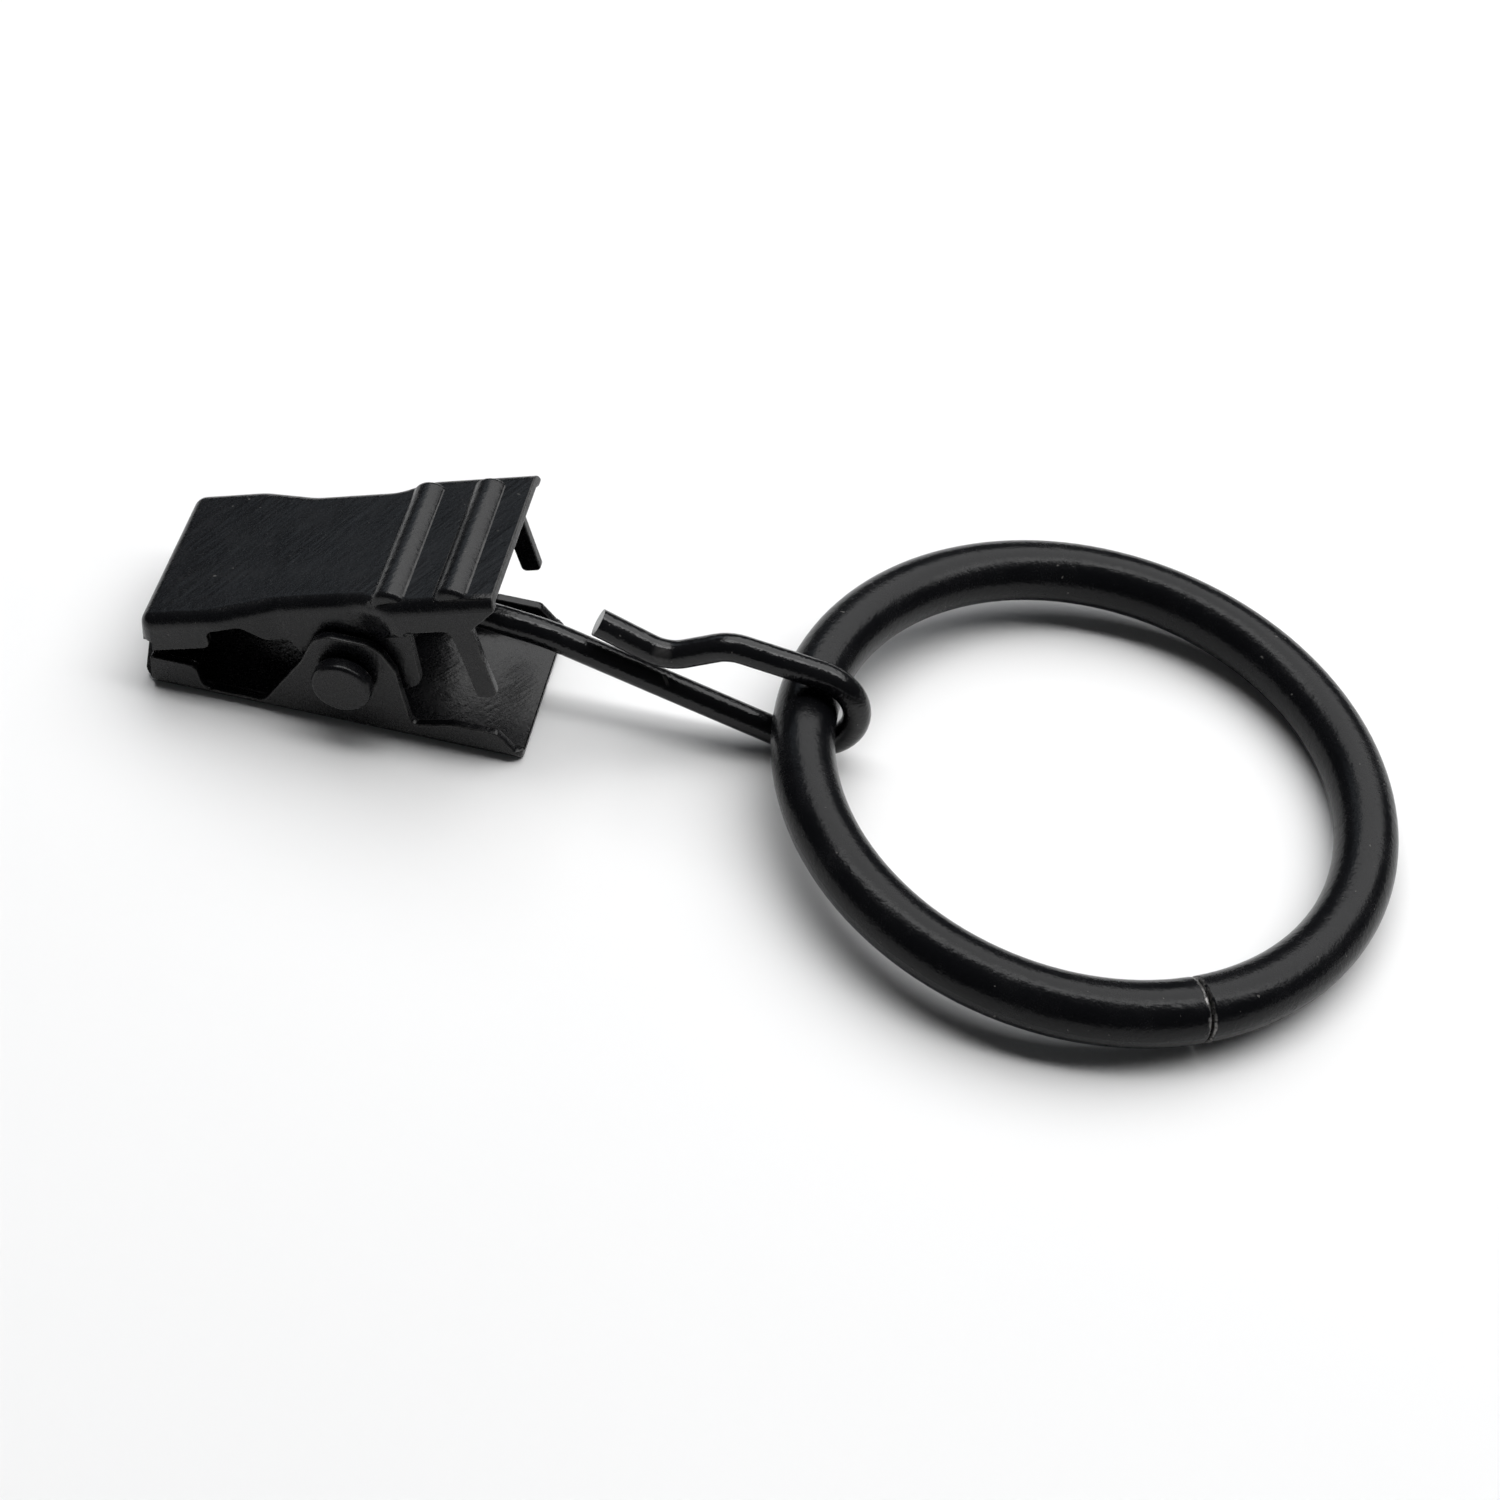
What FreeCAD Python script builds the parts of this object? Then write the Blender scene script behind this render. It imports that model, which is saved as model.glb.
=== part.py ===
import FreeCAD, Part
import math
import os
from FreeCAD import Vector

# Driving dimensions in mm and degrees
# Ring of bent wire, ends butted with a hairline seam
ring_wire = 4.0
ring_inner = 32.0
seam_gap = 0.16
seam_angle = -62.0
seam_round = 0.18

# Hook of round wire
hook_wire = 1.8
hook_reach = 28.0
ring_play = 0.25
eye_play = 0.3
shank_slope = 7.0
shank_corner = 11.0
shank_bend = 14.0
bend_angle = 188.0
return_straight = 5.0
jog_angle = 38.0
jog_bend = 2.6
jog_straight = 2.2
flare_angle = 13.0
tip_length = 3.6

# Sheet metal clip
sheet = 0.6
clip_width = 12.0
nose_length = 13.2
handle_length = 11.3
pivot_to_floor = 4.7
pivot_to_plate = 5.4
shut_angle = 20.0
outer_bend = 0.9
ear_play = 0.22
lower_ear = 3.0
upper_ear = 2.6
wall_height = 2.2
flange_depth = 2.2
nose_depth = 2.6
tab_depth = 7.8
tab_to_rear = 3.3
tab_width = 1.3
ear_rear = 5.0
waist_rear = 2.2
waist_front = -3.4
waist_ease = 3.8
waist_flare = 2.0
rear_corner = 0.6
window_corner = 0.6

# Teeth of the two lips
tooth_pitch = 2.65
tooth_depth = 1.25
lower_peak = 3.0
tooth_gap = 0.15
lip_relief = 0.25
lip_inset = 0.7

# Grip ribs pressed into the upper handle
rib_shares = (0.39, 0.75)
rib_width = 2.1
rib_height = 0.6
rib_to_near_side = 0.5
rib_to_far_side = 1.0
rib_end = 0.4
rib_wall = 0.45

# Rivet through the ears
pin = 2.4
press_play = 0.02
running_play = 0.06
head = 3.8
head_thick = 0.95
neck = 3.0
neck_thick = 0.35

# Torsion spring round the rivet
spring_wire = 0.6
coil_play = 0.25
coil_pitch = 0.64
coil_turns = 4
coil_to_ear = 0.17
leg_reach = 7.6

# Derived sizes
ring_radius = (ring_inner + ring_wire) / 2
bend_radius = (ring_wire + hook_wire) / 2 + ring_play
eye_radius = (pin + hook_wire) / 2 + eye_play
half_width = clip_width / 2
waist = half_width - sheet - ear_play
inner_bend = outer_bend - sheet
floor = -pivot_to_floor
tab_front = handle_length - tab_to_rear
rib_places = [share * handle_length for share in rib_shares]
rib_round = (rib_width ** 2 / 4 + rib_height ** 2) / (2 * rib_height)
floor_top = floor + sheet
wall_top = floor + wall_height
flange_edge = pivot_to_plate - flange_depth
nose_edge = pivot_to_plate - nose_depth
tab_end = pivot_to_plate - tab_depth
peak_z = floor + lower_peak
valley_z = peak_z - tooth_depth
bend_x = hook_reach
bend_z = floor + hook_wire / 2 + bend_radius
ring_tilt = math.asin((bend_z - floor - ring_wire / 2) / (2 * ring_radius))
ring_far = bend_x + 2 * ring_radius * math.cos(ring_tilt) + ring_wire / 2
middle_x = (ring_far - nose_length) / 2
to_table = Vector(-middle_x, 0, pivot_to_floor)
across = Vector(0, 1, 0)
hair = 0.01
spare = 1.0
shut = math.radians(shut_angle)


def corner_edges(corners, lift):
    """Closed outline through corners (a, b, radius), each rounded by its radius."""
    count = len(corners)
    legs = []
    for i in range(count):
        a, b, radius = corners[i]
        here = Vector(a, b, 0)
        back = Vector(corners[i - 1][0], corners[i - 1][1], 0) - here
        ahead = Vector(corners[(i + 1) % count][0], corners[(i + 1) % count][1], 0) - here
        back.normalize()
        ahead.normalize()
        half = back.getAngle(ahead) / 2
        if radius <= 0 or half > math.pi / 2 - 0.002:
            legs.append((here, None, here))
            continue
        run = radius / math.tan(half)
        middle = back + ahead
        middle.normalize()
        crown = here + middle * (radius / math.sin(half) - radius)
        legs.append((here + back * run, crown, here + ahead * run))
    edges = []
    for i in range(count):
        start, crown, end = legs[i]
        if crown is not None:
            edges.append(Part.Arc(lift(start), lift(crown), lift(end)).toShape())
        after = legs[(i + 1) % count][0]
        if (after - end).Length > 1e-6:
            edges.append(Part.LineSegment(lift(end), lift(after)).toShape())
    return Part.Face(Part.Wire(edges))


def side_prism(corners, y_from, y_to):
    """Outline drawn in the side view, extruded across the width."""
    face = corner_edges(corners, lambda p: Vector(p.x, y_from, p.y))
    return face.extrude(Vector(0, y_to - y_from, 0))


def plan_prism(corners, z_from, z_to):
    """Outline drawn in the plan view, extruded upwards."""
    face = corner_edges(corners, lambda p: Vector(p.x, p.y, z_from))
    return face.extrude(Vector(0, 0, z_to - z_from))


def front_prism(corners, x_from, x_to):
    """Outline drawn in the front view, extruded along the clip."""
    face = corner_edges(corners, lambda p: Vector(x_from, p.x, p.y))
    return face.extrude(Vector(x_to - x_from, 0, 0))


def edges_near(shape, test):
    return [e for e in shape.Edges if test(e)]


def on_plane(value, level):
    return abs(value - level) < hair


def pin_hole(radius):
    return Part.makeCylinder(radius, 4 * half_width, Vector(0, -2 * half_width, 0), across)


class Track:
    """Flat wire path in the side view made of straights and bends."""

    def __init__(self, x, z, heading):
        self.at = Vector(x, 0, z)
        self.heading = math.radians(heading)
        self.edges = []

    def way(self, turn=0.0):
        return Vector(math.cos(self.heading + turn), 0, math.sin(self.heading + turn))

    def straight(self, length):
        end = self.at + self.way() * length
        self.edges.append(Part.LineSegment(self.at, end).toShape())
        self.at = end

    def bend(self, radius, turn):
        angle = math.radians(turn)
        side = math.copysign(math.pi / 2, angle)
        centre = self.at + self.way(side) * radius
        crown = centre + self.way(angle / 2 - side) * radius
        end = centre + self.way(angle - side) * radius
        self.edges.append(Part.Arc(self.at, crown, end).toShape())
        self.at = end
        self.heading += angle


def swept(edges, diameter):
    wire = Part.Wire(edges)
    start = edges[0].valueAt(edges[0].FirstParameter)
    along = edges[0].tangentAt(edges[0].FirstParameter)
    ring = Part.Wire(Part.makeCircle(diameter / 2, start, along))
    return wire.makePipeShell([ring], True, False)


# Ring
def make_ring():
    opening = math.degrees(seam_gap / ring_radius)
    section = Part.Face(Part.Wire(Part.makeCircle(ring_wire / 2, Vector(ring_radius, 0, 0), across)))
    ring = section.revolve(Vector(0, 0, 0), Vector(0, 0, 1), 360 - opening)
    ends = edges_near(ring, lambda e: abs(e.Length - math.pi * ring_wire) < 0.01)
    ring = ring.makeFillet(seam_round, ends)
    ring.rotate(Vector(0, 0, 0), Vector(0, 0, 1), seam_angle + opening / 2)
    ring.translate(Vector(ring_radius, 0, 0))
    ring.rotate(Vector(0, 0, 0), across, math.degrees(ring_tilt))
    ring.translate(Vector(bend_x, 0, bend_z))
    return ring


# Hook with an eye round the rivet, a bend round the ring and a jogged free end
def make_hook():
    path = Track(eye_radius, 0, -90)
    path.bend(eye_radius, -(270 + shank_slope))
    corner = path.at + path.way() * shank_corner
    to_bend = Vector(bend_x, 0, bend_z) - corner
    aim = math.atan2(to_bend.z, to_bend.x) - math.asin(bend_radius / to_bend.Length)
    reach = math.sqrt(to_bend.Length ** 2 - bend_radius ** 2)
    dip = path.heading + 2 * math.pi - aim
    trim = shank_bend * math.tan(dip / 2)
    path.straight(shank_corner - trim)
    path.bend(shank_bend, -math.degrees(dip))
    path.straight(reach - trim)
    path.bend(bend_radius, bend_angle)
    path.straight(return_straight)
    path.bend(jog_bend, jog_angle)
    path.straight(jog_straight)
    path.bend(jog_bend, -(jog_angle + flare_angle))
    path.straight(tip_length)
    return swept(path.edges, hook_wire)


# Zigzag of the lower lip, its end flanks running down to the floor corners
def lower_lip_outline():
    end = half_width - lip_inset
    foot = floor + lip_relief + 0.1
    corners = [(end, floor - spare, 0), (end, foot, 0)]
    for i in range(4):
        y = (1.5 - i) * tooth_pitch
        corners.append((y, peak_z, 0.14))
        if i < 3:
            corners.append((y - tooth_pitch / 2, valley_z, 0.25))
    corners += [(-end, foot, 0), (-end, floor - spare, 0)]
    return corners


# Rounded teeth of the upper lip, matched to the valleys of the lower one
def upper_lip_outline():
    tip = valley_z + tooth_gap
    root = peak_z + tooth_gap
    end = half_width - lip_inset - 0.05
    corners = [(end, root + 8, 0), (end, root, 0.2)]
    for i in range(3):
        y = (1 - i) * tooth_pitch
        corners.append((y + tooth_pitch / 2, root, 0.35))
        corners.append((y, tip, 0.35))
    corners.append((-1.5 * tooth_pitch, root, 0.35))
    corners += [(-end, root, 0.2), (-end, root + 8, 0)]
    return corners


# Lower jaw
def make_lower_jaw():
    def tray(inset, bend, rear):
        length = nose_length - inset + rear
        corner = Vector(inset - nose_length, inset - half_width, floor + inset)
        block = Part.makeBox(length, clip_width - 2 * inset, 3 * pivot_to_floor, corner)
        low = edges_near(block, lambda e: on_plane(e.BoundBox.ZMax, corner.z))
        low = [e for e in low if e.BoundBox.XMin < rear - hair]
        nose = edges_near(block, lambda e: on_plane(e.BoundBox.XMax, corner.x) and e.BoundBox.ZLength > sheet)
        return block.makeFillet(bend, low + nose)

    jaw = tray(0, outer_bend, handle_length + 3).cut(tray(sheet, inner_bend, handle_length + 5))
    rear = handle_length
    foot = 1.4 + floor
    side = [
        (rear + 1, floor - 1, 0),
        (rear + 1, floor_top + inner_bend + hair, 0),
        (rear - 0.5, floor_top + inner_bend + hair, 0.3),
        (rear - 1.7, wall_top, 0.4),
        (tab_front - 1.2, wall_top, 1.0),
        (lower_ear + 1.2, foot, 0.5),
        (lower_ear + 0.1, 1.2, 1.2),
        (1.9, lower_ear, 1.6),
        (-1.9, lower_ear, 1.6),
        (-lower_ear + 0.1, 0.3, 1.4),
        (-5.3, floor_top + 0.15, 0.8),
        (-9.2, floor_top + 0.15, 0.8),
        (-9.7, floor + 2.6, 0.7),
        (-nose_length - 1, floor + 2.6, 0),
        (-nose_length - 1, floor - 1, 0),
    ]
    lip = [
        (-nose_length - 1, floor - 2, 0),
        (-nose_length + sheet + 0.05, floor - 2, 0),
        (-nose_length + sheet + 0.05, peak_z + 1, 0),
        (-nose_length - 1, peak_z + 1, 0),
    ]
    keep = side_prism(side, -half_width - 1, half_width + 1)
    front = side_prism(lip, -half_width - 1, half_width + 1)
    teeth = front_prism(lower_lip_outline(), -nose_length - 2, -nose_length + 2)
    low_corner = Vector(-nose_length - spare, -clip_width, floor - spare)
    corner_floor = Part.makeBox(4 * spare, 2 * clip_width, spare + lip_relief, low_corner)
    walls = jaw.common(keep.cut(front))
    lips = jaw.common(front).common(teeth.fuse(corner_floor))
    jaw = walls.fuse(lips).removeSplitter()
    plan = [
        (-nose_length - 1, -half_width - 1, 0),
        (-nose_length - 1, half_width + 1, 0),
        (0, half_width + 1, 0),
        (0, half_width, 0),
        (rear, half_width, rear_corner),
        (rear, -half_width, rear_corner),
        (0, -half_width, 0),
        (0, -half_width - 1, 0),
    ]
    jaw = jaw.common(plan_prism(plan, floor - 1, 10))
    return jaw.cut(pin_hole(pin / 2 + press_play))


# Upper jaw, drawn with its plate level and then turned to the shut angle
def make_upper_jaw():
    lean = Vector(-math.sin(shut), 0, -math.cos(shut))
    edge_u = (pivot_to_plate * math.sin(shut) - nose_length) / math.cos(shut)
    rear = handle_length

    def cap(inset, bend, end):
        top = pivot_to_plate - inset
        half = half_width - inset
        slim = waist - inset
        nose = edge_u + inset / math.cos(shut) + inset * math.tan(shut)
        drop = 9.0
        side = [
            (end, top, 0),
            (nose, top, 0),
            (nose + lean.x * drop, top + lean.z * drop, 0),
            (end, top + lean.z * drop, 0),
        ]
        plan = [(-20, -half, 0)]
        curve = [
            (waist_front - waist_ease, half, 5),
            (waist_front, slim, 4),
            (waist_rear, slim, 3),
            (waist_rear + waist_flare, half, 3),
        ]
        plan += [(u, -y, r) for u, y, r in curve]
        plan += [(end, -half, 0), (end, half, 0)]
        plan += [(u, y, r) for u, y, r in reversed(curve)]
        plan.append((-20, half, 0))
        body = plan_prism(plan, -20, 20).common(side_prism(side, -half - 2, half + 2))
        upper = edges_near(body, lambda e: e.BoundBox.ZMin > top - 0.01 and e.BoundBox.XMin < end - 0.01)
        upper = [e for e in upper if e.BoundBox.YLength < half or e.BoundBox.XMax < nose + 0.01]
        front = edges_near(body, lambda e: e.BoundBox.XMax < nose + 0.01 and e.BoundBox.ZLength > 1)
        return body.makeFillet(bend, upper + front)

    skin = cap(0, outer_bend, rear + 3)
    jaw = skin.cut(cap(sheet, inner_bend, rear + 5))
    side = [
        (rear, pivot_to_plate + 2, 0),
        (rear, pivot_to_plate - sheet - 0.2, 0),
        (tab_front + tab_width + 0.1, flange_edge, 0.3),
        (tab_front + tab_width, tab_end, 0.35),
        (tab_front, tab_end, 0.35),
        (tab_front, flange_edge, window_corner),
        (waist_rear - 0.6, flange_edge, 0),
        (waist_rear - 0.6, -upper_ear, 0),
        (-1.6, -upper_ear, 1.6),
        (-upper_ear - 0.1, 1.0, 0.9),
        (-3.2, 2.4, 0.5),
        (-4.6, 2.7, 1.0),
        (-5.8, pivot_to_plate - 1.3, 0.9),
        (-7.9, pivot_to_plate - 1.3, 0.5),
        (-8.2, nose_edge, 0.5),
        (-16.0, nose_edge, 0),
        (-16.0, pivot_to_plate + 2, 0),
    ]
    jaw = jaw.common(side_prism(side, -half_width - 1, half_width + 1).fuse(nose_block(edge_u)))
    jaw = jaw.fuse([ear.common(skin) for ear in ear_pieces()])
    jaw.rotate(Vector(0, 0, 0), across, -shut_angle)
    teeth = front_prism(upper_lip_outline(), -nose_length - 2, -nose_length + sheet + 0.3)
    relief = side_prism(
        [
            (-nose_length - 1, -14, 0),
            (-nose_length + sheet + 0.25, -14, 0),
            (-nose_length + sheet + 0.25, peak_z + 0.9, 0),
            (-nose_length - 1, peak_z + 0.9, 0),
        ],
        -half_width - 1,
        half_width + 1,
    )
    jaw = jaw.cut(relief.cut(teeth))
    ribs = []
    for place in rib_places:
        ribs.append(make_rib(place))
    for outside, inside in ribs:
        jaw = jaw.fuse(outside)
    for outside, inside in ribs:
        jaw = jaw.cut(inside)
    return jaw.cut(pin_hole(pin / 2 + running_play)).removeSplitter()


# Rear half of each ear, set inwards below the flange by a sloping joggle
def ear_pieces():
    top = flange_edge - 1.0
    reach = ear_rear + 2 * window_corner
    window = [
        (reach, -2 * upper_ear, 0),
        (reach, flange_edge, 0),
        (ear_rear, flange_edge, window_corner),
        (4.2, -1.9, 1.0),
        (1.4, -upper_ear, 1.6),
        (0, -upper_ear, 0),
        (0, -2 * upper_ear, 0),
    ]
    blank = [
        (0, top, 0),
        (reach, top, 0),
        (reach, -upper_ear - spare, 0),
        (0, -upper_ear - spare, 0),
    ]
    def section(side, z):
        outer = [
            (waist_rear - spare, waist),
            (waist_rear, waist),
            (waist_rear + waist_flare, side),
            (reach, side),
        ]
        corners = [(u, y, 0) for u, y in outer]
        corners += [(u, y - sheet, 0) for u, y in reversed(outer)]
        return corner_edges(corners, lambda p: Vector(p.x, p.y, z)).OuterWire

    joggle = Part.makeLoft([section(half_width, flange_edge), section(waist, top)], True, True)
    ear = side_prism(blank, waist - sheet, waist).fuse(joggle)
    ear = ear.cut(side_prism(window, 0, clip_width))
    return [ear, ear.mirror(Vector(0, 0, 0), across)]


# Room for the lip below the flange line at the nose
def nose_block(edge_u):
    return side_prism(
        [
            (edge_u + 0.75, pivot_to_plate + 1, 0),
            (edge_u + 0.75 - 9 * math.sin(shut), pivot_to_plate - 9 * math.cos(shut), 0),
            (edge_u - 9, pivot_to_plate - 9 * math.cos(shut), 0),
            (edge_u - 9, pivot_to_plate + 1, 0),
        ],
        -half_width - 1,
        half_width + 1,
    )


# One pressed rib with blunt rounded ends: raised outside, hollow inside
def make_rib(place):
    near = rib_to_near_side - half_width
    length = clip_width - rib_to_near_side - rib_to_far_side
    centre = pivot_to_plate + rib_height - rib_round

    def bead(radius, base, shorter):
        start = Vector(place, near + shorter, centre)
        bar = Part.makeCylinder(radius, length - 2 * shorter, start, across)
        low = Vector(place - 2 * radius, -half_width, base)
        return bar.common(Part.makeBox(4 * radius, clip_width, 4 * radius, low))

    outside = bead(rib_round, pivot_to_plate - 0.85 * sheet, 0)
    ends = edges_near(outside, lambda e: e.BoundBox.YLength < hair and e.BoundBox.ZLength > hair)
    outside = outside.makeFillet(rib_end, ends)
    inside = bead(rib_round - rib_wall, centre - spare, rib_wall)
    for shape in (outside, inside):
        shape.rotate(Vector(0, 0, 0), across, -shut_angle)
    return outside, inside


# Rivet with a necked flat head on each side
def make_rivet():
    half = half_width
    outline = [
        (-half - neck_thick - head_thick, 0, 0),
        (-half - neck_thick - head_thick, head / 2, 0.3),
        (-half - neck_thick, head / 2, 0.1),
        (-half - neck_thick, neck / 2, 0),
        (-half, neck / 2, 0),
        (-half, pin / 2, 0),
        (half, pin / 2, 0),
        (half, neck / 2, 0),
        (half + neck_thick, neck / 2, 0),
        (half + neck_thick, head / 2, 0.1),
        (half + neck_thick + head_thick, head / 2, 0.3),
        (half + neck_thick + head_thick, 0, 0),
    ]
    face = corner_edges(outline, lambda p: Vector(p.y, p.x, 0))
    return face.revolve(Vector(0, 0, 0), across, 360)


# Torsion spring: coil beside the hook eye, one leg on the floor, one under the upper plate
def make_spring():
    radius = (pin + spring_wire) / 2 + coil_play
    lead = math.atan(coil_pitch / (2 * math.pi * radius))
    rest_low = floor_top + spring_wire / 2
    rest_high_normal = pivot_to_plate - sheet - spring_wire / 2
    low_dir = math.asin(radius / math.hypot(leg_reach, rest_low)) + math.atan2(rest_low, leg_reach)
    low_run = math.sqrt(leg_reach ** 2 + rest_low ** 2 - radius ** 2)
    high_x = leg_reach * math.cos(shut) - rest_high_normal * math.sin(shut)
    high_z = leg_reach * math.sin(shut) + rest_high_normal * math.cos(shut)
    high_dir = math.atan2(high_z, high_x) - math.asin(radius / math.hypot(high_x, high_z))
    high_run = math.sqrt(high_x ** 2 + high_z ** 2 - radius ** 2)
    start = high_dir + math.pi / 2
    end = low_dir - math.pi / 2
    sweep = end - start + 2 * math.pi * coil_turns
    width = coil_pitch * sweep / (2 * math.pi)

    coil = Part.makeHelix(coil_pitch, width, radius, 0, True)
    coil.rotate(Vector(0, 0, 0), Vector(1, 0, 0), -90)
    begin = coil.Edges[0].valueAt(coil.Edges[0].FirstParameter)
    coil.rotate(Vector(0, 0, 0), across, -math.degrees(start - math.atan2(begin.z, begin.x)))
    coil.translate(Vector(0, waist - sheet - coil_to_ear - spring_wire / 2 - width, 0))
    first = coil.Edges[0]
    last = coil.Edges[-1]
    p0 = first.valueAt(first.FirstParameter)
    t0 = first.tangentAt(first.FirstParameter)
    p1 = last.valueAt(last.LastParameter)
    t1 = last.tangentAt(last.LastParameter)
    legs = [Part.LineSegment(p0 - t0 * (high_run / math.cos(lead)), p0).toShape()]
    tail = [Part.LineSegment(p1, p1 + t1 * (low_run / math.cos(lead))).toShape()]
    return swept(legs + coil.Edges + tail, spring_wire)


nodes = {
    "ring": make_ring(),
    "hook": make_hook(),
    "lower_jaw": make_lower_jaw(),
    "upper_jaw": make_upper_jaw(),
    "rivet": make_rivet(),
    "spring": make_spring(),
}

os.makedirs("parts", exist_ok=True)
for name, shape in nodes.items():
    shape.translate(to_table)
    box = shape.BoundBox
    print(name, shape.ShapeType, len(shape.Solids), shape.isValid(), round(shape.Volume, 2),
          [round(v, 2) for v in (box.XMin, box.XMax, box.YMin, box.YMax, box.ZMin, box.ZMax)])
    shape.exportStep("parts/" + name + ".step")
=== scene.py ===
import math

import bmesh
import bpy
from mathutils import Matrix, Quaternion, Vector


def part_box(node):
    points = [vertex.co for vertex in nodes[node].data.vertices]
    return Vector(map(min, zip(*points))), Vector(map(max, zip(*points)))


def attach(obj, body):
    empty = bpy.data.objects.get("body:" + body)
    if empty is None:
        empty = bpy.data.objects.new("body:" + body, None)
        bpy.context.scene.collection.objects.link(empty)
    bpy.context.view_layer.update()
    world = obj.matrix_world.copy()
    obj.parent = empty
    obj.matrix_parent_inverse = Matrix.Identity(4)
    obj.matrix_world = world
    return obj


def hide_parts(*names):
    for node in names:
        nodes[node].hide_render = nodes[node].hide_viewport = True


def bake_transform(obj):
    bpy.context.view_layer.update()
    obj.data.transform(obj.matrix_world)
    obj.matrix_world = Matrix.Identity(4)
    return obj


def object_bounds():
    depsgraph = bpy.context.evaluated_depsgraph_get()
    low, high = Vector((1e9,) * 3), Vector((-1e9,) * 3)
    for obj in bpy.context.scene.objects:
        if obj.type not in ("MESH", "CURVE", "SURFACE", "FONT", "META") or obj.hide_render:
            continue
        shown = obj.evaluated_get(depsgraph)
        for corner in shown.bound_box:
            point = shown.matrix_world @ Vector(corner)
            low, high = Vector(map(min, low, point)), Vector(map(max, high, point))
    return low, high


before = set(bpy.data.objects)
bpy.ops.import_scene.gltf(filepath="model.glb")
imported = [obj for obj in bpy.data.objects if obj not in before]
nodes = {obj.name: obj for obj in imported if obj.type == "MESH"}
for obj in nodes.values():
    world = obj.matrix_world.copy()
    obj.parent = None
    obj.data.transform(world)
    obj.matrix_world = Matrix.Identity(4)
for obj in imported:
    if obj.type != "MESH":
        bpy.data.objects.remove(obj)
cad_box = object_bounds()
MM = 0.001

# Places read from the imported CAD model
ring_low, ring_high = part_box("ring")
ring_middle = (ring_low + ring_high) / 2
object_middle = (cad_box[0] + cad_box[1]) / 2

# Copies of the CAD meshes
merge_distance = 0.002 * MM
flat_angle = math.radians(0.6)
cut_edge_angle = math.radians(40)
crisp_angle = math.radians(50)
cut_edge_round = 0.09 * MM
face_room = 1.5 * cut_edge_round

# Grain of the paint
cloud_size = 3.2 * MM
peel_size = 0.42 * MM
grit_size = 0.13 * MM
rub_size = 0.9 * MM
dust_size = 0.30 * MM
grit_share = 0.3

# Seam of the ring
seam_angle = math.radians(-62)
seam_width = 0.28 * MM
seam_wander = 0.5 * MM
seam_ragged_size = 0.6 * MM
flake_size = 0.35 * MM
seam_side_fade = 1 * MM

# Marks on the hook; each reach gives where a mark starts to fade and where it ends
shank_nick = Vector((-0.0072, -0.0006, 0.0046))
nick_across = Vector((0.8, 0.6, 0))
nick_width_reach = (0.06 * MM, 0.15 * MM)
nick_length_reach = (0.30 * MM, 0.65 * MM)
return_dip = Vector((-0.0078, -0.0005, 0.0066))
dip_reach = (0.25 * MM, 0.85 * MM)
scuff_size = 0.5 * MM

# Marks on the sheet
streak_along = Vector((0.55, 0.83, 0))
streak_across = Vector((0.83, -0.55, 0))
streak_size = 0.50 * MM
streak_stretch = 0.12
streak_patch_size = 3.5 * MM
speck_size = 0.16 * MM
edge_rub_size = 0.8 * MM

# Colours
black_paint = (0.0035, 0.0037, 0.0045, 1)
worn_paint = (0.010, 0.010, 0.011, 1)
dull_steel = (0.20, 0.195, 0.19, 1)
pale_dust = (0.35, 0.34, 0.32, 1)
floor_light = (0.86, 0.86, 0.86, 1)
floor_dark = (0.83, 0.83, 0.83, 1)
sky_colour = (0.95, 0.97, 1.0, 1)
white = (1, 1, 1)
cool_white = (0.80, 0.90, 1.0)

# Studio
floor_half = 3
floor_cloud = 0.05
floor_rough = 0.7
sky_strength = 0.05

# Camera, as the photograph looks at this piece
camera_azimuth = math.radians(274)
camera_elevation = math.radians(48)
camera_roll = math.radians(9)
camera_distance = 0.168
camera_lens = 67
camera_clip_start = 0.01
camera_aim = object_middle + Vector((-0.001, -0.0070, 0))


# Shader expressions
class Value:
    """A shader socket that takes part in arithmetic: each operation adds a Math node."""

    def __init__(self, bench, socket):
        self.bench = bench
        self.socket = socket

    def math(self, operation, *others):
        inputs = dict(enumerate((self, *others)))
        return self.bench.node("ShaderNodeMath", {"operation": operation}, inputs)["Value"]

    def __add__(self, other):
        return self.math("ADD", other)

    def __sub__(self, other):
        return self.math("SUBTRACT", other)

    def __mul__(self, other):
        return self.math("MULTIPLY", other)

    def __rsub__(self, other):
        return self.bench.number(other).math("SUBTRACT", self)

    __radd__ = __add__
    __rmul__ = __mul__

    def smooth(self, low, high):
        """0 below low, 1 above high, and a soft step between them."""
        settings = {"interpolation_type": "SMOOTHSTEP"}
        inputs = {"Value": self, "From Min": low, "From Max": high}
        return self.bench.node("ShaderNodeMapRange", settings, inputs)["Result"]


class Outputs:
    """The outputs of one node, by name or number."""

    def __init__(self, bench, node):
        self.bench = bench
        self.made = node

    def __getitem__(self, key):
        return Value(self.bench, self.made.outputs[key])


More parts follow.
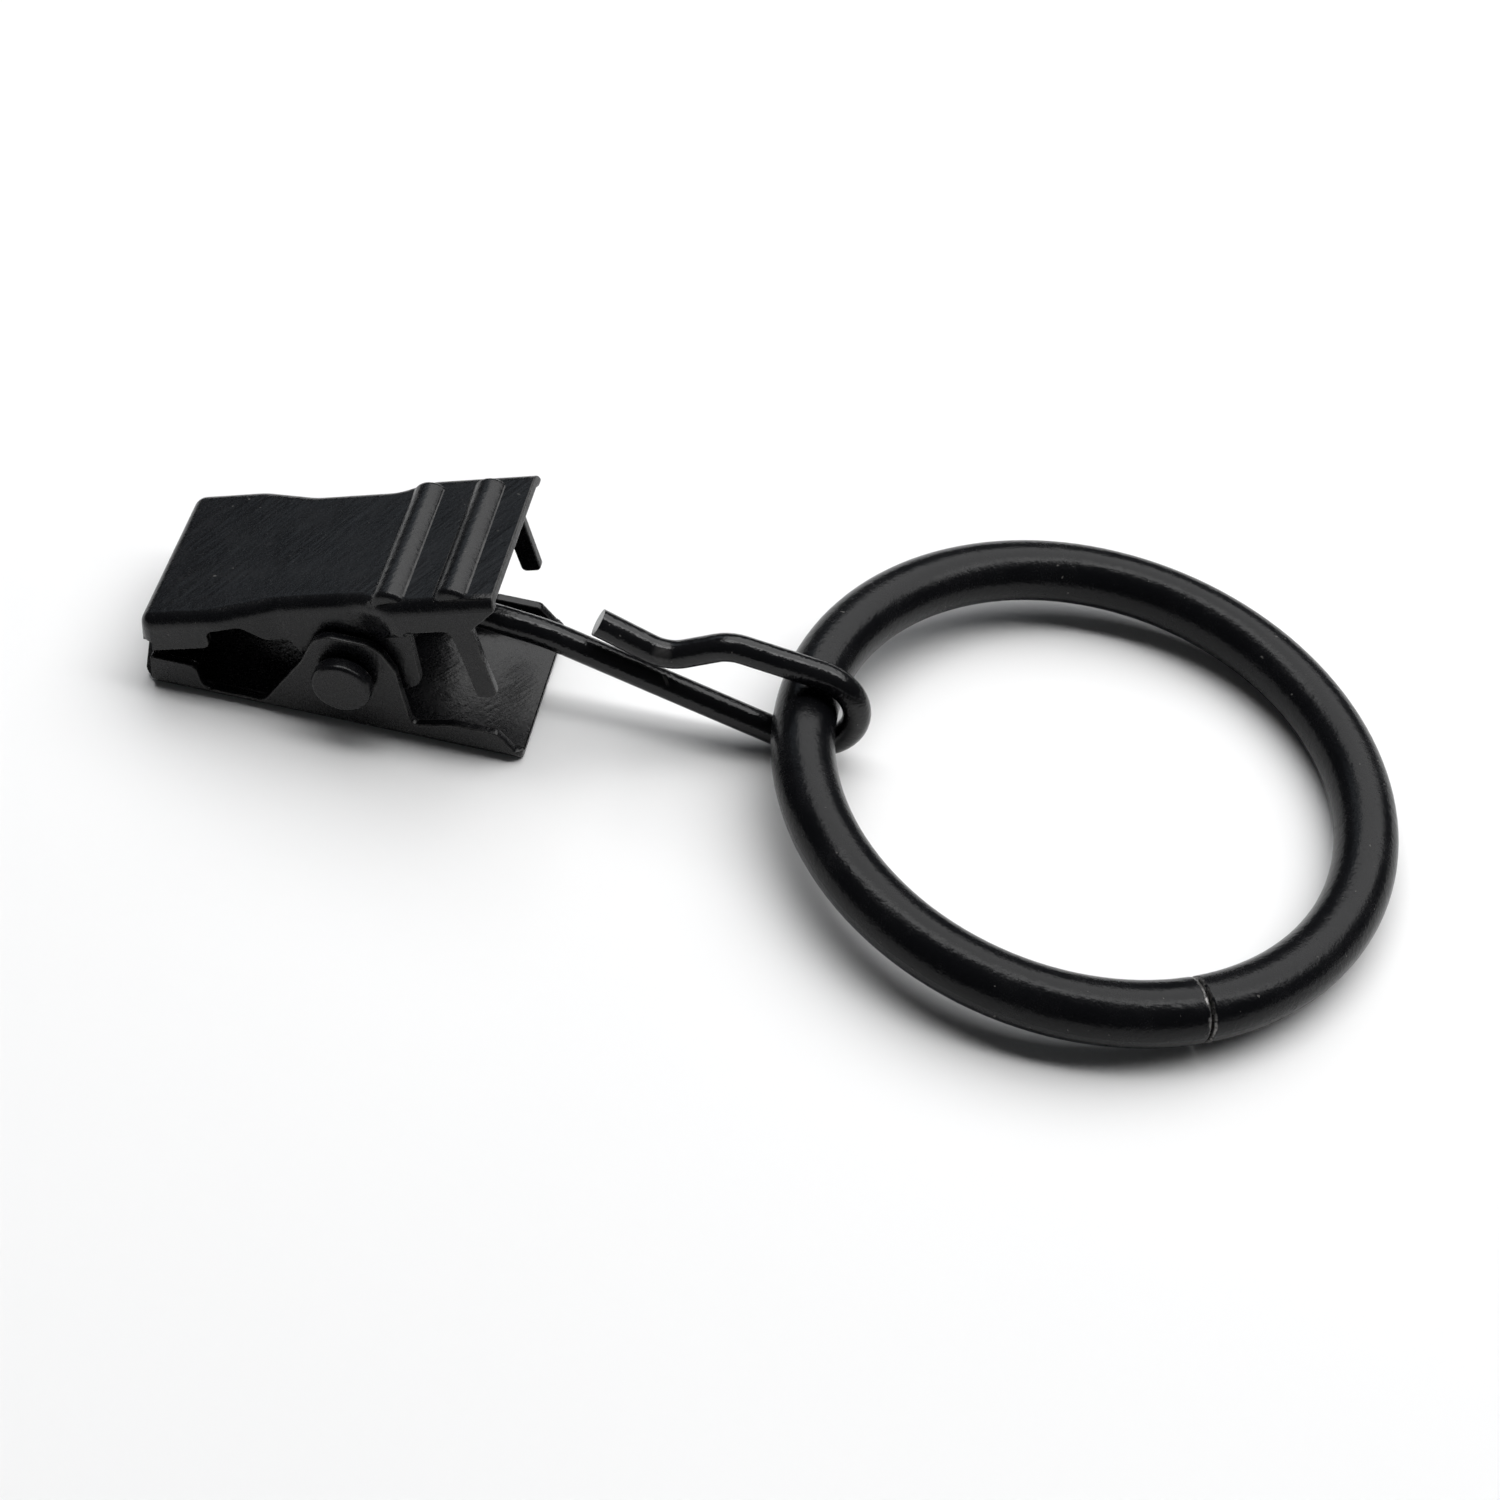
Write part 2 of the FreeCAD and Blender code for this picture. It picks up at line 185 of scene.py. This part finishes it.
class Bench:
    """The node tree of one material."""

    def __init__(self, name):
        self.material = bpy.data.materials.new(name)
        self.material.use_nodes = True
        self.tree = self.material.node_tree
        self.tree.nodes.clear()
        self.place = self.node("ShaderNodeTexCoord")["Object"]

    def node(self, kind, settings=None, inputs=None):
        made = self.tree.nodes.new(kind)
        for key, value in (settings or {}).items():
            setattr(made, key, value)
        for key, value in (inputs or {}).items():
            if isinstance(value, Value):
                self.tree.links.new(value.socket, made.inputs[key])
            else:
                made.inputs[key].default_value = value
        return Outputs(self, made)

    def number(self, value):
        return self.node("ShaderNodeMath", {"operation": "ADD"}, {0: value, 1: 0.0})["Value"]

    def noise(self, size, detail=2.0, rough=0.5, place=None):
        """Soft noise whose grains are about the given size in metres."""
        inputs = {
            "Vector": place or self.place,
            "Scale": 1 / size,
            "Detail": detail,
            "Roughness": rough,
        }
        return self.node("ShaderNodeTexNoise", None, inputs)["Fac"]

    def mix(self, factor, first, second):
        """A colour between two others; sockets 6, 7 and 2 are the Mix node's colour sockets."""
        inputs = {"Factor": factor, 6: first, 7: second}
        return self.node("ShaderNodeMix", {"data_type": "RGBA"}, inputs)[2]

    def vector(self, operation, first, second):
        return self.node("ShaderNodeVectorMath", {"operation": operation}, {0: first, 1: second})

    def offset(self, origin, direction):
        """How far the surface lies from the origin along a direction."""
        arm = self.vector("SUBTRACT", self.place, origin)["Vector"]
        return self.vector("DOT_PRODUCT", arm, direction)["Value"]

    def distance_to(self, point):
        return self.vector("DISTANCE", self.place, point)["Value"]

    def bump(self, height, depth, under=None):
        inputs = {"Height": height, "Distance": depth, "Strength": 1.0}
        if under is not None:
            inputs["Normal"] = under
        return self.node("ShaderNodeBump", None, inputs)["Normal"]

    def finish(self, inputs):
        shader = self.node("ShaderNodeBsdfPrincipled", None, inputs)["BSDF"]
        self.node("ShaderNodeOutputMaterial", None, {"Surface": shader})
        return self.material


# Black baked paint: satin, faintly blue, with a fine orange peel
def baked_paint(name, rough, shine, peel_depth, marks=None):
    """marks gives the share of bare metal and the height of the paint."""
    bench = Bench(name)
    cloud = bench.noise(cloud_size, detail=3)
    peel = bench.noise(peel_size, detail=2, rough=0.55)
    grit = bench.noise(grit_size, detail=1)
    rub = bench.noise(rub_size, detail=4, rough=0.65).smooth(0.56, 0.74)
    dust = bench.noise(dust_size, detail=0).smooth(0.84, 0.88)
    wear = cloud.smooth(0.42, 0.75) * 0.35 + rub * 0.25
    colour = bench.mix(wear, black_paint, worn_paint)
    colour = bench.mix(dust * 0.22, colour, pale_dust)
    roughness = rough + (cloud - 0.5) * 0.16 + (grit - 0.5) * 0.16 + rub * 0.07 + dust * 0.3
    metal = 0.0
    height = peel
    if marks is not None:
        bare, height = marks(bench, peel)
        colour = bench.mix(bare, colour, dull_steel)
        roughness = roughness + bare * 0.08
        metal = bare
    peeled = bench.bump(height, peel_depth)
    return bench.finish({
        "Base Color": colour,
        "Roughness": roughness,
        "Metallic": metal,
        "Specular IOR Level": shine,
        "Normal": bench.bump(grit, peel_depth * grit_share, peeled),
    })


def seam_marks(bench, peel):
    """Paint broken along the butted ends of the ring."""
    outward = Vector((math.cos(seam_angle), math.sin(seam_angle), 0))
    forward = Vector((-outward.y, outward.x, 0))
    ragged = (bench.noise(seam_ragged_size, detail=3, rough=0.6) - 0.5) * seam_wander
    off_seam = (bench.offset(ring_middle, forward) + ragged).math("ABSOLUTE")
    side = bench.offset(ring_middle, outward).smooth(0.0, seam_side_fade)
    flake = bench.noise(flake_size, detail=2, rough=0.6).smooth(0.32, 0.50)
    broken = (1 - off_seam.smooth(seam_width / 2, seam_width)) * side * flake
    return broken * 0.85, peel - broken * 1.5


def hook_marks(bench, peel):
    """A slanting nick on the shank and a rubbed patch in the dip of the return leg."""
    slant = bench.offset(shank_nick, nick_across).math("ABSOLUTE")
    near_nick = 1 - bench.distance_to(shank_nick).smooth(*nick_length_reach)
    nick = (1 - slant.smooth(*nick_width_reach)) * near_nick
    scuff = bench.noise(scuff_size, detail=3, rough=0.6).smooth(0.35, 0.65)
    near_dip = 1 - bench.distance_to(return_dip).smooth(*dip_reach)
    rubbed = near_dip * (0.5 + scuff * 0.5)
    return nick * 0.35 + rubbed * 0.22, peel - nick * 2.0


def sheet_marks(bench, peel):
    """Slanting streaks in patches, specks, and cut edges rubbed thin."""
    along = bench.offset(Vector(), streak_along)
    across = bench.offset(Vector(), streak_across)
    stretched = {"X": along * streak_stretch, "Y": across}
    place = bench.node("ShaderNodeCombineXYZ", None, stretched)["Vector"]
    streak = bench.noise(streak_size, detail=2, rough=0.6, place=place)
    speck = bench.noise(speck_size, detail=1).smooth(0.68, 0.74)
    edge = bench.node("ShaderNodeAttribute", {"attribute_name": "cut_edge"})["Fac"]
    thin = bench.noise(edge_rub_size, detail=3, rough=0.6).smooth(0.35, 0.7)
    rubbed = edge * (0.06 + thin * 0.16)
    patch = bench.noise(streak_patch_size, detail=1).smooth(0.40, 0.62)
    return speck * 0.06 + rubbed, peel * 0.9 + streak * (0.5 + patch * 1.4)


def paint(piece, material):
    piece.data.materials.clear()
    piece.data.materials.append(material)


# Pieces that take the place of their CAD nodes
def merged_copy(node):
    shell = bmesh.new()
    shell.from_mesh(nodes[node].data)
    bmesh.ops.remove_doubles(shell, verts=shell.verts, dist=merge_distance)
    return shell


def new_object(name, shell):
    mesh = bpy.data.meshes.new(name)
    shell.to_mesh(mesh)
    shell.free()
    piece = bpy.data.objects.new(name, mesh)
    bpy.context.scene.collection.objects.link(piece)
    return piece


def stand_in(node, shell, name):
    """Smooth faces, with the corners that stay sharp kept crisp."""
    for face in shell.faces:
        face.smooth = True
    for edge in shell.edges:
        edge.smooth = edge.calc_face_angle(0) < crisp_angle
    piece = new_object(name, shell)
    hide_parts(node)
    return piece


def has_room(edge):
    """Both faces beside the edge are wide enough for its rounding."""
    return min(face.calc_area() for face in edge.link_faces) > face_room * edge.calc_length()


def rounded_jaw(node):
    """Folded sheet with its cut edges rounded."""
    shell = merged_copy(node)
    bmesh.ops.dissolve_limit(shell, angle_limit=flat_angle, verts=shell.verts, edges=shell.edges)
    sharp = [e for e in shell.edges if e.is_manifold and e.calc_face_angle() > cut_edge_angle]
    cut_edges = [e for e in sharp if has_room(e)]
    cut_edge = shell.faces.layers.float.new("cut_edge")
    rounded = bmesh.ops.bevel(
        shell, geom=cut_edges, offset=cut_edge_round, offset_type="OFFSET",
        affect="EDGES", segments=2, profile=0.5, material=-1,
    )
    for face in rounded["faces"]:
        face[cut_edge] = 1.0
    piece = stand_in(node, shell, node + "_sheet")
    piece.modifiers.new("even_shading", "WEIGHTED_NORMAL").keep_sharp = True
    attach(piece, node)
    return piece


def winding_spring():
    """A smooth copy of the spring in place of its CAD node."""
    piece = stand_in("spring", merged_copy("spring"), "wound_spring")
    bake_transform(piece)
    return piece


def dress_object():
    ring_finish = baked_paint(
        "ring_finish", rough=0.24, shine=0.18, peel_depth=0.026 * MM, marks=seam_marks)
    paint(nodes["ring"], ring_finish)
    hook_finish = baked_paint(
        "hook_finish", rough=0.17, shine=0.34, peel_depth=0.032 * MM, marks=hook_marks)
    paint(nodes["hook"], hook_finish)
    rivet_finish = baked_paint("rivet_finish", rough=0.27, shine=0.26, peel_depth=0.022 * MM)
    paint(nodes["rivet"], rivet_finish)
    spring_finish = baked_paint("spring_finish", rough=0.25, shine=0.28, peel_depth=0.012 * MM)
    paint(winding_spring(), spring_finish)
    clip_finish = baked_paint(
        "clip_finish", rough=0.27, shine=0.28, peel_depth=0.022 * MM, marks=sheet_marks)
    for node in ("lower_jaw", "upper_jaw"):
        paint(rounded_jaw(node), clip_finish)


# Pale floor
def lay_floor():
    sheet = bmesh.new()
    bmesh.ops.create_grid(sheet, x_segments=1, y_segments=1, size=floor_half)
    floor = new_object("floor", sheet)
    bench = Bench("pale_floor")
    tone = bench.mix(bench.noise(floor_cloud), floor_dark, floor_light)
    paint(floor, bench.finish({"Base Color": tone, "Roughness": floor_rough}))


# Soft studio light
def soft_box(name, place, width, height, power, colour=white):
    """A panel that faces straight down."""
    light = bpy.data.lights.new(name, "AREA")
    light.shape = "RECTANGLE"
    light.size = width
    light.size_y = height
    light.energy = power
    light.color = colour
    lamp = bpy.data.objects.new(name, light)
    lamp.location = place
    lamp.rotation_mode = "QUATERNION"
    lamp.rotation_quaternion = Vector((0, 0, -1)).to_track_quat("-Z", "Y")
    bpy.context.scene.collection.objects.link(lamp)


def light_studio():
    world = bpy.data.worlds.new("studio")
    world.use_nodes = True
    sky = world.node_tree.nodes["Background"]
    sky.inputs["Color"].default_value = sky_colour
    sky.inputs["Strength"].default_value = sky_strength
    bpy.context.scene.world = world
    soft_box("overhead", (0.20, 0.43, 0.60), width=1.1, height=0.9, power=9.4)
    soft_box("front_edge", (0.10, 0.06, 0.58), width=0.9, height=0.10, power=1.1)
    soft_box(
        "left_side", (-0.62, 0.72, 0.60), width=0.6, height=0.6, power=0.80, colour=cool_white)


def set_camera():
    data = bpy.data.cameras.new("camera")
    data.lens = camera_lens
    data.clip_start = camera_clip_start
    camera = bpy.data.objects.new("camera", data)
    level = math.cos(camera_elevation)
    back = Vector((
        math.cos(camera_azimuth) * level,
        math.sin(camera_azimuth) * level,
        math.sin(camera_elevation),
    ))
    camera.location = camera_aim + back * camera_distance
    camera.rotation_mode = "QUATERNION"
    upright = (-back).to_track_quat("-Z", "Y")
    camera.rotation_quaternion = upright @ Quaternion((0, 0, 1), camera_roll)
    bpy.context.scene.collection.objects.link(camera)
    bpy.context.scene.camera = camera


dress_object()
lay_floor()
light_studio()
set_camera()
bpy.context.scene.view_settings.view_transform = "Standard"
